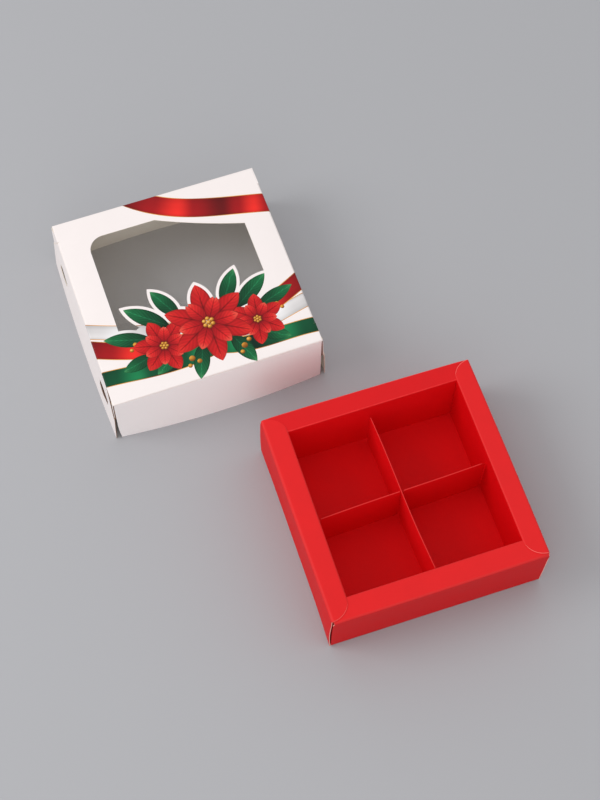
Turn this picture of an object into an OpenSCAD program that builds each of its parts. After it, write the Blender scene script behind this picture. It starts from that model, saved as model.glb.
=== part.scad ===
/* [Card] */
// Thickness of the folding card
board = 0.35; // [0.3:0.05:0.6]
// Play between two layers of card
layer_gap = 0.1; // [0.05:0.05:0.2]

/* [Tray] */
// Outside width of the tray, left to right
tray_w = 104.1; // [90:0.1:140]
// Outside depth of the tray, front to back
tray_d = 104.1; // [90:0.1:140]
// Outside height of the tray
tray_h = 35.2; // [32:0.1:50]
// Width of the flat frame round the tray's opening
rim_w = 9.7; // [6:0.1:14]
// Length of the flaps hidden in the corners of the frame
tray_flap_l = 24; // [10:1:30]

/* [Divider] */
// Height of both dividing strips
strip_h = 28.3; // [16:0.1:30]
// Free space between a strip's end and the tray's inner wall
strip_end_gap = 2; // [1:0.5:6]
// Turn of the loose cross from square with the tray
cross_turn = 2; // [0:0.5:2.5]
// Free width of a halving slot beside the card in it
slot_play = 0.7; // [0.4:0.1:1.2]
// Width of the halving slot at its open end
slot_mouth = 2.2; // [1.8:0.1:3]
// Free depth where the two halving slots meet
slot_rest_gap = 0.3; // [0.1:0.1:1]

/* [Lid] */
// Outside height of the lid
lid_h = 35.5; // [33:0.1:52]
// Play between the closed lid's flaps and the tray
lid_play = 0.05; // [0:0.05:0.5]
// How far the side walls' feet stand out at the corners
side_flare = 1.6; // [0.5:0.1:3]
// How much more the side walls' feet stand out half way along
side_bow = 1.2; // [0:0.1:3]
// How far the front and back walls' feet stand out half way along
end_bow = 2.5; // [0:0.1:4]

/* [Corner locks] */
// Height of the lower edge of the lock flaps
lock_z = 18.6; // [14:0.1:22]
// Length of the lock flaps along the side walls
lock_flap_l = 27; // [20:1:32]
// Distance of a lock slot's middle from the lid's corner
lock_slot_in = 17.6; // [12:0.1:20]
// Length of a lock slot
lock_slot_l = 14; // [8:0.5:16]
// Height of a lock slot
lock_slot_h = 3.8; // [2.8:0.1:4.5]
// Free height under a tongue in its slot
tongue_rest = 1.1; // [1:0.05:1.4]
// Play at each end of a tongue in its slot
tongue_play = 0.5; // [0.2:0.1:1]
// Length of a tongue from its flap through the wall
tongue_l = 2.9; // [2.5:0.1:4]
// Fall of a tongue below level
tongue_fall = 27; // [20:1:35]
// Length of the cut-back at the upper ends of the side walls
relief_l = 10.5; // [6:0.5:12]
// Cut-back of the lower corners of the front and back walls
end_trim = 1; // [0.5:0.5:4]

/* [Window] */
// Width of the window in the lid
window_w = 77.2; // [60:0.1:80]
// Distance of the window's back edge from the lid's middle
window_back = 39; // [30:0.5:42]
// Distance of the window's front edge from the lid's middle
window_front = 21.5; // [16:0.5:30]
// Radius of the window's back left corner
window_corner_r = 8; // [2:0.5:12]
// Radius of the window's front corners
window_front_r = 3; // [1:0.5:6]
// White border between the window and the printed flowers
border = 1.5; // [0.5:0.1:3]
// Thickness of the clear film
film_t = 0.2; // [0.1:0.05:0.3]
// How far the film reaches under the card round the window
film_lap = 5; // [3:0.5:8]

/* [Lid's place beside the tray] */
// Free distance between the tray and the lid
lid_apart = 29.6; // [10:0.1:80]
// How far the lid lies to the left of the tray
lid_aside = 64.7; // [0:0.1:120]
// Turn of the lid from square with the tray
lid_turn = 1.2; // [-3:0.1:3]

/* [Hidden] */
$fn = 96;

tray_red = [0.85, 0.12, 0.14];
tray_inside_red = [0.68, 0.03, 0.06];
lid_white = [0.95, 0.93, 0.93];
lid_inside_white = [0.86, 0.84, 0.80];
film_clear = [0.85, 0.9, 0.95, 0.35];

// Half sizes of the tray, and of the opening inside its frame
tray_x = tray_w / 2;
tray_y = tray_d / 2;
cell_x = tray_x - rim_w;
cell_y = tray_y - rim_w;
// The side rims lie on the end rims, one thickness of card lower
side_rim_z = tray_h - board;
end_rim_z = side_rim_z - board;
// Half length of what stands between the two side walls of the tray
tray_between = tray_x - board - layer_gap;

// Clear of the tray go a lock flap and a wall on each side of the lid
lid_side = 2 * board + layer_gap + lid_play;
lid_x = tray_x + lid_side;
lid_y = tray_y + lid_side;
lid_wall_h = lid_h - board;
lid_between = lid_x - board - layer_gap;
// Number of flat strips that a bowed wall, and each trimmed end of it, is drawn with
bow_steps = 12;
end_steps = 2;
// How far a cutting shape runs past the card that it cuts
past = 1;
// Height of a lock slot's lower edge, a little under the tongue
lock_slot_z = lock_z - tongue_drop() - tongue_rest;

// The window's back right corner is cut off by the edge of the printed ribbon
ribbon_edge_back = [-3.5, window_back];
ribbon_edge_side = [window_w / 2, 22.6];
ribbon_edge_sag = 0.9;

// The printed flowers and leaves that shape the window's front edge
flowers = [
    // middle x, middle y, petals, length, width, first direction
    [4, -25, 6, 22, 10, 90],
    [-20, -30, 6, 15, 8, 105],
    [27, -31, 6, 14, 7.5, 80]
];
leaves = [
    // foot x, foot y, direction, length, width
    [-8, -18, 118, 21, 8],
    [-14, -21, 140, 25, 8.5],
    [-24, -25, 163, 24, 8],
    [13, -19, 58, 22, 8],
    [19, -22, 36, 24, 8.5],
    [28, -25, 18, 22, 7.5]
];
petal_foot = 1.5;
// Round grounds of white card that fill the narrow clefts between them
grounds = [
    // middle x, middle y, radius
    [4, -25, 13.5],
    [-15, -20, 8.5],
    [-27, -22, 5.5],
    [-20, -30, 9],
    [18, -19, 8.5],
    [35, -17, 7],
    [27, -31, 9]
];

// How far a tongue has dropped where it meets the side wall, at the middle of its slot
function tongue_drop() =
    (foot_out(lid_y - lock_slot_in, lid_y, side_flare, side_bow) * (1 - lock_z / lid_wall_h)
    + board + layer_gap) * tan(tongue_fall);

// How far the foot of a bowed wall stands out at a place along it
function foot_out(at, half_l, flare, bow) = flare + bow * (1 - pow(at / half_l, 2));

// Radius of the two arcs that bound a pointed leaf
function leaf_r(length, width) = (pow(length, 2) + pow(width, 2)) / (4 * width);

// Sum of a list of lists, joined end to end
function joined(lists) = [for (one = lists) for (item = one) item];

// A wall that hangs from a straight fold and bows out towards its foot.
// It runs along X, its outer face looks to -Y, and the fold is at y = 0 and z = height.
// head_cut and foot_cut are the length and height cut off its upper and lower corners.
module bowed_wall(half_l, height, flare, bow, head_cut = [0, 0], foot_cut = [0, 0]) {
    cut_l = max(head_cut[0], foot_cut[0]);
    straight = half_l - cut_l;
    columns = concat(
        [for (i = [0 : end_steps - 1]) -half_l + cut_l * i / end_steps],
        [for (i = [0 : bow_steps]) -straight + 2 * straight * i / bow_steps],
        [for (i = [1 : end_steps]) straight + cut_l * i / end_steps]
    );
    rows = [
        for (x = columns)
            let (
                out = foot_out(x, half_l, flare, bow),
                share = max(0, abs(x) - straight) / cut_l,
                low = share * foot_cut[1],
                high = height - share * head_cut[1],
                low_out = out * (1 - low / height),
                high_out = out * (1 - high / height)
            )
            [
                [x, -low_out, low],
                [x, board - low_out, low],
                [x, board - high_out, high],
                [x, -high_out, high]
            ]
    ];
    last = 4 * (len(columns) - 1);
    skin = [
        for (i = [0 : 4 : last - 4], k = [0 : 3])
            let (a = i + k, b = i + (k + 1) % 4)
            [[a, a + 4, b], [b, a + 4, b + 4]]
    ];
    ends = [[0, 2, 3], [0, 1, 2], [last, last + 2, last + 1], [last, last + 3, last + 2]];
    polyhedron(points = joined(rows), faces = concat(joined(skin), ends), convexity = 4);
}

// A flat leaf or petal that points along +X from its foot, grown by a margin
module leaf(length, width, margin = 0) {
    r = leaf_r(length, width);
    intersection_for (side = [-1, 1])
        translate([length / 2, side * (r - width / 2)])
            circle(r + margin, $fn = 180);
}

// All the printed leaves and petals with the white border round them
module printed_outline() {
    for (flower = flowers, i = [0 : flower[2] - 1])
        translate([flower[0], flower[1]])
            rotate(flower[5] + i * 360 / flower[2])
                translate([petal_foot, 0])
                    leaf(flower[3] - petal_foot, flower[4], border);
    for (ground = grounds)
        translate([ground[0], ground[1]])
            circle(ground[2]);
    for (one = leaves)
        translate([one[0], one[1]])
            rotate(one[2])
                leaf(one[3], one[4], border);
}

// What rounds a square corner that lies at the origin and opens to -X and -Y
module corner_waste(r) {
    difference() {
        translate([-r, -r])
            square(r + past);
        translate([-r, -r])
            circle(r);
    }
}

// The window: a rounded square, cut off by the ribbon and by the printed flowers
module window_outline() {
    middle = (ribbon_edge_back + ribbon_edge_side) / 2;
    chord = ribbon_edge_side - ribbon_edge_back;
    half_chord = norm(chord) / 2;
    ribbon_r = (pow(half_chord, 2) + pow(ribbon_edge_sag, 2)) / (2 * ribbon_edge_sag);
    outward = [-chord[1], chord[0]] / norm(chord);
    difference() {
        translate([-window_w / 2, -window_front])
            square([window_w, window_front + window_back]);
        translate([-window_w / 2, window_back])
            mirror([1, 0])
                corner_waste(window_corner_r);
        translate([window_w / 2, -window_front])
            mirror([0, 1])
                corner_waste(window_front_r);
        translate([-window_w / 2, -window_front])
            rotate(180)
                corner_waste(window_front_r);
        translate(middle + outward * (ribbon_r - ribbon_edge_sag))
            circle(ribbon_r, $fn = 360);
        printed_outline();
    }
}

// Walls, rims and flaps of the tray, for side -1 or 1
module tray_side_wall(side) {
    translate([side * (tray_x - board / 2), 0, (board + side_rim_z) / 2])
        cube([board, tray_d, side_rim_z - board], center = true);
}

module tray_side_rim(side) {
    translate([0, 0, side_rim_z])
        linear_extrude(board)
            mirror([side < 0 ? 1 : 0, 0])
                intersection() {
                    translate([cell_x, -tray_y])
                        square([rim_w, tray_d]);
                    union() {
                        translate([cell_x, -cell_y])
                            square([rim_w, 2 * cell_y]);
                        for (end = [-1, 1])
                            translate([tray_x, end * cell_y])
                                circle(rim_w);
                    }
                }
}

module tray_side_inner_wall(side) {
    translate([side * (cell_x + board / 2), 0, (board + side_rim_z) / 2])
        cube([board, 2 * cell_y, side_rim_z - board], center = true);
}

module tray_end_wall(side) {
    translate([0, side * (tray_y - board / 2), (board + end_rim_z) / 2])
        cube([2 * tray_between, board, end_rim_z - board], center = true);
}

module tray_end_rim(side) {
    translate([0, side * (tray_y - rim_w / 2), end_rim_z + board / 2])
        cube([2 * tray_between, rim_w, board], center = true);
}

module tray_end_inner_wall(side) {
    translate([0, side * (cell_y + board / 2), (board + end_rim_z) / 2])
        cube([2 * (cell_x + board), board, end_rim_z - board], center = true);
}

module tray_flap(side, end) {
    low = board + layer_gap;
    high = end_rim_z - layer_gap;
    translate([side * (tray_between - board / 2), end * (tray_y - board - tray_flap_l / 2), (low + high) / 2])
        cube([board, tray_flap_l, high - low], center = true);
}

// A strip along X with a halving slot cut from one edge to half its height
module halved_strip(length, from_top, rest_gap) {
    slot_w = board + slot_play;
    depth = strip_h / 2 + rest_gap;
    translate([-length / 2, board / 2, 0])
        rotate([90, 0, 0])
            linear_extrude(board)
                difference() {
                    square([length, strip_h]);
                    translate([length / 2, from_top ? strip_h : 0])
                        mirror([0, from_top ? 1 : 0])
                            polygon([
                                [-slot_mouth / 2, -past],
                                [slot_mouth / 2, -past],
                                [slot_mouth / 2, 0],
                                [slot_w / 2, slot_mouth],
                                [slot_w / 2, depth],
                                [-slot_w / 2, depth],
                                [-slot_w / 2, slot_mouth],
                                [-slot_mouth / 2, 0]
                            ]);
                }
}

// Moves a piece of the lid to where the lid lies
module in_lid_place() {
    translate([-lid_aside, tray_y + lid_apart + lid_y, 0])
        rotate(lid_turn)
            children();
}

// A side wall of the lid, hung from the fold at x = lid_x, with its two lock slots
module lid_side_wall(side) {
    wide = side_flare + side_bow;
    mirror([side < 0 ? 1 : 0, 0, 0])
        difference() {
            translate([lid_x, 0, 0])
                rotate(90)
                    bowed_wall(lid_y, lid_wall_h, side_flare, side_bow, [relief_l, lid_wall_h - lock_z]);
            for (end = [-1, 1])
                translate([lid_x - past, end * (lid_y - lock_slot_in) - lock_slot_l / 2, lock_slot_z])
                    cube([wide + 2 * past, lock_slot_l, lock_slot_h]);
        }
}

// A front or back wall of the lid, hung from the fold at y = lid_y
module lid_end_wall(end) {
    mirror([0, end > 0 ? 1 : 0, 0])
        translate([0, -lid_y, 0])
            bowed_wall(lid_between, lid_wall_h, 0, end_bow, [0, 0], [end_trim, lock_z]);
}

// A flap that folds back from the front or back wall, with the tongue that locks it
module lid_lock_flap(side, end) {
    flap_x = lid_between - board;
    high = lid_wall_h - layer_gap;
    tongue_w = lock_slot_l - 2 * tongue_play;
    mirror([side < 0 ? 1 : 0, 0, 0])
        mirror([0, end > 0 ? 1 : 0, 0])
            union() {
                translate([flap_x, -lid_y + board, lock_z])
                    cube([board, lock_flap_l, high - lock_z]);
                translate([flap_x, -lid_y + lock_slot_in - tongue_w / 2, lock_z + board])
                    rotate([0, tongue_fall, 0])
                        translate([board * sin(tongue_fall), 0, -board])
                            cube([tongue_l, tongue_w, board]);
            }
}

module tray_floor() {
    color(tray_inside_red)
        translate([0, 0, board / 2])
            cube([tray_w, tray_d, board], center = true);
}

module tray_left_wall() { color(tray_red) tray_side_wall(-1); }
module tray_right_wall() { color(tray_red) tray_side_wall(1); }
module tray_front_wall() { color(tray_red) tray_end_wall(-1); }
module tray_back_wall() { color(tray_red) tray_end_wall(1); }
module tray_left_rim() { color(tray_red) tray_side_rim(-1); }
module tray_right_rim() { color(tray_red) tray_side_rim(1); }
module tray_front_rim() { color(tray_red) tray_end_rim(-1); }
module tray_back_rim() { color(tray_red) tray_end_rim(1); }
module tray_left_inner_wall() { color(tray_inside_red) tray_side_inner_wall(-1); }
module tray_right_inner_wall() { color(tray_inside_red) tray_side_inner_wall(1); }
module tray_front_inner_wall() { color(tray_inside_red) tray_end_inner_wall(-1); }
module tray_back_inner_wall() { color(tray_inside_red) tray_end_inner_wall(1); }
module tray_front_left_flap() { color(tray_red) tray_flap(-1, -1); }
module tray_front_right_flap() { color(tray_red) tray_flap(1, -1); }
module tray_back_left_flap() { color(tray_red) tray_flap(-1, 1); }
module tray_back_right_flap() { color(tray_red) tray_flap(1, 1); }

// Slotted from above, so the other strip drops into it
module divider_left_right() {
    color(tray_inside_red)
        translate([0, 0, board])
            rotate(cross_turn)
                halved_strip(2 * (cell_x - strip_end_gap), true, 0);
}

// Slotted from below, so its upper edge runs through unbroken
module divider_front_back() {
    color(tray_inside_red)
        translate([0, 0, board])
            rotate(90 + cross_turn)
                halved_strip(2 * (cell_y - strip_end_gap), false, slot_rest_gap);
}

module lid_top() {
    color(lid_white)
        in_lid_place()
            translate([0, 0, lid_wall_h])
                linear_extrude(board)
                    difference() {
                        square([2 * lid_x, 2 * lid_y], center = true);
                        window_outline();
                    }
}

module lid_window_film() {
    color(film_clear)
        in_lid_place()
            translate([-window_w / 2 - film_lap, -window_front - film_lap, lid_wall_h - film_t])
                cube([window_w + 2 * film_lap, window_front + window_back + 2 * film_lap, film_t]);
}

module lid_left_wall() { color(lid_white) in_lid_place() lid_side_wall(-1); }
module lid_right_wall() { color(lid_white) in_lid_place() lid_side_wall(1); }
module lid_front_wall() { color(lid_white) in_lid_place() lid_end_wall(-1); }
module lid_back_wall() { color(lid_white) in_lid_place() lid_end_wall(1); }
module lid_front_left_lock_flap() { color(lid_inside_white) in_lid_place() lid_lock_flap(-1, -1); }
module lid_front_right_lock_flap() { color(lid_inside_white) in_lid_place() lid_lock_flap(1, -1); }
module lid_back_left_lock_flap() { color(lid_inside_white) in_lid_place() lid_lock_flap(-1, 1); }
module lid_back_right_lock_flap() { color(lid_inside_white) in_lid_place() lid_lock_flap(1, 1); }

tray_floor();
tray_left_wall();
tray_right_wall();
tray_front_wall();
tray_back_wall();
tray_left_rim();
tray_right_rim();
tray_front_rim();
tray_back_rim();
tray_left_inner_wall();
tray_right_inner_wall();
tray_front_inner_wall();
tray_back_inner_wall();
tray_front_left_flap();
tray_front_right_flap();
tray_back_left_flap();
tray_back_right_flap();
divider_left_right();
divider_front_back();
lid_top();
lid_window_film();
lid_left_wall();
lid_right_wall();
lid_front_wall();
lid_back_wall();
lid_front_left_lock_flap();
lid_front_right_lock_flap();
lid_back_left_lock_flap();
lid_back_right_lock_flap();
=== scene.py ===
import math

import bmesh
import bpy
from mathutils import Matrix, Vector
from mathutils.geometry import delaunay_2d_cdt


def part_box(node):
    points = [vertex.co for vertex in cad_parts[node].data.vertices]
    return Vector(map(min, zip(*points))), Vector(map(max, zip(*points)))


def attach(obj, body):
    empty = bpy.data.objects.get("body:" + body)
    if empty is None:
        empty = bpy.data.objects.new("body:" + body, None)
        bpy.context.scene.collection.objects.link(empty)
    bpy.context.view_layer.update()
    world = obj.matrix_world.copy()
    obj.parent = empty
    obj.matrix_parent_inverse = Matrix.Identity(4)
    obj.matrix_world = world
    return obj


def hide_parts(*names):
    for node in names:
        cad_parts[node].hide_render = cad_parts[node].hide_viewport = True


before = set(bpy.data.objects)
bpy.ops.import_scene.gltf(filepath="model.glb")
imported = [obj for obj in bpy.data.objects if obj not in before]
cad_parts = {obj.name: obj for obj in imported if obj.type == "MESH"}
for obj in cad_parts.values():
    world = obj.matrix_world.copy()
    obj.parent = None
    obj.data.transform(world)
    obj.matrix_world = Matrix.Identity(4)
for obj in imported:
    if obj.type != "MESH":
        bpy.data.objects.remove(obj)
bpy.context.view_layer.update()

# Tray floor: the middle panel of the red blank. The blank is cut flat from coated folding
# card and every panel is one sheet of it, so a panel is cut out flat here and then folded.
mm = 0.001
tray_low, tray_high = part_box("tray_floor")
board = (tray_high[2] - tray_low[2]) / mm
tray_x = tray_high[0] / mm
tray_y = tray_high[1] / mm
crease_r = 0.8
quarter = crease_r * math.pi / 2


def srgb(red, green, blue):
    """A colour written as 0 to 255, as the shader needs it."""
    linear = [c / 3294.6 if c <= 10 else ((c / 255 + 0.055) / 1.055) ** 2.4 for c in (red, green, blue)]
    return (*linear, 1)


def new_material(name):
    """An empty material, its shader and a quick way to add and join nodes."""
    material = bpy.data.materials.new(name)
    material.use_nodes = True
    tree = material.node_tree
    shader = tree.nodes["Principled BSDF"]

    def add(kind, **settings):
        node = tree.nodes.new(kind)
        for key, value in settings.items():
            if key in node.inputs:
                node.inputs[key].default_value = value
            else:
                setattr(node, key, value)
        return node

    return material, shader, add, tree.links.new


def card_face(name, colour, wear_and_painted_light, rough, mottle=0.04, grain=0.25, shine=0.45):
    """A face of card: faint cloudy print, fine paper grain, and creases mixed towards a second colour: rubbed
    wear on most faces, a painted highlight on the back rim.
    """
    material, shader, add, join = new_material(name)
    place = add("ShaderNodeTexCoord").outputs["Object"]
    cloud = add("ShaderNodeTexNoise", Scale=70.0, Detail=3.0, Roughness=0.6)
    speck = add("ShaderNodeTexNoise", Scale=1400.0, Detail=4.0, Roughness=0.7)
    rub_and_light_noise = add("ShaderNodeTexNoise", Scale=420.0, Detail=5.0, Roughness=0.75)
    for noise in (cloud, speck, rub_and_light_noise):
        join(place, noise.inputs["Vector"])
    both = add("ShaderNodeMix", data_type="FLOAT", Factor=0.35)
    join(cloud.outputs["Fac"], both.inputs["A"])
    join(speck.outputs["Fac"], both.inputs["B"])
    tone = add("ShaderNodeMapRange")
    tone.inputs["From Min"].default_value = 0.3
    tone.inputs["From Max"].default_value = 0.7
    tone.inputs["To Min"].default_value = 1 - mottle
    tone.inputs["To Max"].default_value = 1 + mottle
    join(both.outputs["Result"], tone.inputs["Value"])
    tint = add("ShaderNodeVectorMath", operation="SCALE")
    tint.inputs[0].default_value = colour[:3]
    join(tone.outputs["Result"], tint.inputs["Scale"])
    crease = add("ShaderNodeAttribute", attribute_name="crease")
    # Creases take the second colour in patches: rubbed wear, and on the back rim a painted highlight.
    wear_and_light_amount = add("ShaderNodeMath", operation="MULTIPLY_ADD")
    join(crease.outputs["Fac"], wear_and_light_amount.inputs[0])
    join(rub_and_light_noise.outputs["Fac"], wear_and_light_amount.inputs[1])
    wear_and_light_amount.inputs[2].default_value = -0.12
    amount = add("ShaderNodeMath", operation="MULTIPLY", use_clamp=True)
    join(wear_and_light_amount.outputs[0], amount.inputs[0])
    amount.inputs[1].default_value = 1.1
    mix = add("ShaderNodeMix", data_type="RGBA")
    join(amount.outputs[0], mix.inputs["Factor"])
    join(tint.outputs[0], mix.inputs["A"])
    mix.inputs["B"].default_value = wear_and_painted_light
    join(mix.outputs["Result"], shader.inputs["Base Color"])
    bump = add("ShaderNodeBump", Strength=grain, Distance=0.00004)
    join(speck.outputs["Fac"], bump.inputs["Height"])
    join(bump.outputs["Normal"], shader.inputs["Normal"])
    gloss = add("ShaderNodeMapRange")
    gloss.inputs["To Min"].default_value = rough - 0.06
    gloss.inputs["To Max"].default_value = rough + 0.06
    join(cloud.outputs["Fac"], gloss.inputs["Value"])
    join(gloss.outputs["Result"], shader.inputs["Roughness"])
    shader.inputs["Specular IOR Level"].default_value = shine
    return material


def raw_edge(name, pale, dark):
    """The cut edge of the card: pressed layers of fibre in two tones."""
    material, shader, add, join = new_material(name)
    place = add("ShaderNodeTexCoord").outputs["Object"]
    fibre = add("ShaderNodeTexNoise", Scale=2600.0, Detail=4.0, Roughness=0.8)
    join(place, fibre.inputs["Vector"])
    mix = add("ShaderNodeMix", data_type="RGBA")
    join(fibre.outputs["Fac"], mix.inputs["Factor"])
    mix.inputs["A"].default_value = dark
    mix.inputs["B"].default_value = pale
    join(mix.outputs["Result"], shader.inputs["Base Color"])
    bump = add("ShaderNodeBump", Strength=0.5, Distance=0.00005)
    join(fibre.outputs["Fac"], bump.inputs["Height"])
    join(bump.outputs["Normal"], shader.inputs["Normal"])
    shader.inputs["Roughness"].default_value = 0.9
    shader.inputs["Specular IOR Level"].default_value = 0.2
    return material


def steps(start, end, widest):
    """Places from start to end, no further apart than widest."""
    count = max(1, math.ceil(abs(end - start) / widest - 0.001))
    return [start + (end - start) * i / count for i in range(count + 1)]


def card_sheet(name, loops, lines, is_card, place, skins, printed=(), wear_and_painted_light=None):
    """Cuts a flat blank along loops and lines, keeps what is_card, and folds it by place.

    place gives the outer face's point, its outward normal and how sharply it is creased.
    skins are the materials of the outer face, the inner face and the cut edge. printed lists
    the shapes printed on the outer face, the topmost first, and wear_and_painted_light is one for the cut edge,
    painted darker as shade.
    """
    points = []
    edges = []
    for loop in loops:
        first = len(points)
        points += [Vector(p) for p in loop]
        edges += [(first + i, first + (i + 1) % len(loop)) for i in range(len(loop))]
    for a, b in lines:
        edges.append((len(points), len(points) + 1))
        points += [Vector(a), Vector(b)]
    flat, _, triangles, *_ = delaunay_2d_cdt(points, edges, [], 0, 1e-4)
    kept = []
    for tri in triangles:
        middle = (flat[tri[0]] + flat[tri[1]] + flat[tri[2]]) / 3
        if is_card(middle.x, middle.y):
            kept.append((tri, middle))
    mesh = bmesh.new()
    uv = mesh.loops.layers.uv.new("print")
    fold = mesh.verts.layers.float.new("crease")
    outer = {}
    inner = {}
    for i in sorted({i for tri, _ in kept for i in tri}):
        point, normal, creased = place(flat[i].x, flat[i].y)
        outer[i] = mesh.verts.new(point * mm)
        inner[i] = mesh.verts.new((point - normal * board) * mm)
        outer[i][fold] = creased
    first = kept[0][0]
    corners = [outer[i].co for i in first]
    facing = (corners[1] - corners[0]).cross(corners[2] - corners[0])
    turned = facing.dot(place(*kept[0][1])[1]) < 0
    materials = list(skins) + [shape["ink"] for shape in list(printed) + ([wear_and_painted_light] if wear_and_painted_light else [])]
    used = {}
    border = {}
    for tri, middle in kept:
        tri = list(reversed(tri)) if turned else list(tri)
        shape = next((s for s in printed if s["covers"](middle.x, middle.y)), None)
        ink = shape["ink"] if shape else skins[0]
        face = mesh.faces.new([outer[i] for i in tri])
        face.material_index = used.setdefault(ink.name, len(used))
        face.smooth = True
        for loop, i in zip(face.loops, tri):
            x, y = flat[i]
            loop[uv].uv = shape["uv"](x, y) if shape else (x / 100, y / 100)
        back = mesh.faces.new([inner[i] for i in reversed(tri)])
        back.material_index = used.setdefault(skins[1].name, len(used))
        back.smooth = True
        for i in range(3):
            a, b = tri[i], tri[(i + 1) % 3]
            if (b, a) in border:
                del border[b, a]
            else:
                border[a, b] = True
    for a, b in border:
        side = mesh.faces.new([outer[b], outer[a], inner[a], inner[b]])
        # Cut edges that wear_and_painted_light covers take its ink: painted shade.
        raw = wear_and_painted_light["ink"] if wear_and_painted_light and wear_and_painted_light["covers"](*flat[a]) else skins[2]
        side.material_index = used.setdefault(raw.name, len(used))
        for edge in side.edges:
            edge.smooth = False
    data = bpy.data.meshes.new(name)
    mesh.to_mesh(data)
    mesh.free()
    by_name = {material.name: material for material in materials}
    for key in used:
        data.materials.append(by_name[key])
    piece = bpy.data.objects.new(name, data)
    bpy.context.scene.collection.objects.link(piece)
    return piece


def hand_over(piece, body, slot, *nodes):
    """The piece rides on its body and stands for its CAD nodes."""
    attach(piece, body)
    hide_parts(*nodes)


def rectangle(x0, y0, x1, y1):
    return [(x0, y0), (x1, y0), (x1, y1), (x0, y1)]


def grid(xs, ys):
    """Lines across a rectangle at each x and each y."""
    across = [((x, ys[0]), (x, ys[-1])) for x in xs]
    return across + [((xs[0], y), (xs[-1], y)) for y in ys]


tray_outside = card_face("tray red coating", srgb(220, 30, 32), srgb(212, 54, 52), 0.55, shine=0.18)
# Back rim: a copy of the red coating painted darker as shade, with its creases painted light as a highlight.
back_rim_painted_light = card_face("tray back rim coating, painted shade and highlight", srgb(213, 19, 24), srgb(255, 66, 66), 0.55, shine=0.18)
# Outer walls and floor: a copy of the red coating painted darker as shade.
tray_wall_painted_shade = card_face("tray wall red coating, painted shade", srgb(209, 22, 26), srgb(205, 54, 52), 0.6, shine=0.13)
tray_inside = card_face("tray inside red", srgb(223, 11, 18), srgb(236, 44, 44), 0.6, shine=0.12)
# Right inner wall: a copy of the inside red painted darker as shade.
tray_right_inside_painted_shade = card_face("tray right inside red, painted shade", srgb(211, 6, 13), srgb(236, 44, 44), 0.6, shine=0.08)
tray_raw = raw_edge("tray card edge", srgb(252, 206, 192), srgb(238, 140, 126))
tray_skins = (tray_outside, tray_inside, tray_raw)
shaded_wall_skins = (tray_wall_painted_shade, tray_inside, tray_raw)
back_rim_painted_skins = (back_rim_painted_light, tray_inside, tray_raw)
foot_springs = {"left": 0.2, "right": -0.5, "front": -0.1, "back": 0.2}
corner_gape_l = 13.0
corner_gapes = {(-1, -1): 1.0, (1, -1): 0.28, (-1, 1): 0.4, (1, 1): 0.35}


def rolled(distance, flat):
    """A crease at the end of a flat half width: how far out, how far round, and the turn."""
    if distance <= flat:
        return distance, 0.0, 0.0
    turn = min((distance - flat) / crease_r, math.pi / 2)
    past = distance - flat - turn * crease_r
    return flat + crease_r * math.sin(turn), crease_r * (1 - math.cos(turn)) + past, turn


def gape(side, at, rise):
    """How far the end of a side wall gapes at the tray's corner, at its share of the height."""
    strength = corner_gapes[side, -1 if at < 0 else 1]
    shape = 0.5 - 0.45 * rise + 0.8 * math.sin(math.pi * rise)
    return strength * shape * math.exp(-((tray_y - abs(at)) / corner_gape_l) ** 2)


def across_panel(half):
    """Places across a panel, close together near its ends, where the card bends most."""
    close = [half - step for step in (0, 0.25, 0.5, 0.8, 1.4, 2.4, 4, 7, 11, 16, 22)]
    return [-a for a in close] + steps(-close[-1], close[-1], 7)[1:-1] + close[::-1]


floor_x = tray_x - crease_r
floor_y = tray_y - crease_r


def on_floor(x, y):
    out_x, up_x, turn_x = rolled(abs(x), floor_x)
    out_y, up_y, turn_y = rolled(abs(y), floor_y)
    out_x += foot_springs["left" if x < 0 else "right"] * out_x / tray_x
    out_y += foot_springs["front" if y < 0 else "back"] * out_y / tray_y
    out_x += gape(-1 if x < 0 else 1, y, 0) * math.sin(turn_x)
    point = Vector((math.copysign(out_x, x), math.copysign(out_y, y), up_x + up_y))
    normal = Vector((
        math.copysign(math.sin(turn_x), x),
        math.copysign(math.sin(turn_y), y),
        -math.cos(max(turn_x, turn_y))
    ))
    return point, normal.normalized(), math.sin(2 * max(turn_x, turn_y))


floor_xs, floor_ys = (
    [-flat - q for q in steps(quarter, 0, 0.25)] + across_panel(flat)[1:-1] + [flat + q for q in steps(0, quarter, 0.25)]
    for flat in (floor_x, floor_y)
)
tray_floor = card_sheet(
    "tray_floor_card", [rectangle(-floor_x, -floor_y, floor_x, floor_y)], grid(floor_xs, floor_ys),
    lambda x, y: abs(x) < floor_x or abs(y) < floor_y, on_floor, shaded_wall_skins
)
hand_over(tray_floor, "tray", "tray_inside_card", "tray_floor")

# Tray frame: each side of the blank folds up, over and down again, which leaves a hollow
# wall with a wide flat rim that springs outwards a little. The side rims lie on the end rims
# and end in a quarter circle, and the ends of the side walls gape at the corners.
rim_low, rim_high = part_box("tray_right_rim")
tray_top = rim_high[2] / mm
cell_x = rim_low[0] / mm
rim_w = tray_x - cell_x
cell_y = tray_y - rim_w
tray_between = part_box("tray_front_wall")[1][0] / mm
rim_crease_r = 1.3
rim_quarter = rim_crease_r * math.pi / 2
rim_springs = {"left": (0.3, 0), "right": (0.22, 0), "front": (0.8, -0.25), "back": (0.6, 0)}
inner_springs = {"left": (-0.25, -0.35), "right": (0.42, 0.25), "front": (-0.05, -0.3), "back": (0.7, 0.5)}
rim_bow = 0.3
wall_bow = 0.12
corner_droop = 0.5
curl_r = 0.8
curl_turn = 0.9


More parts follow.
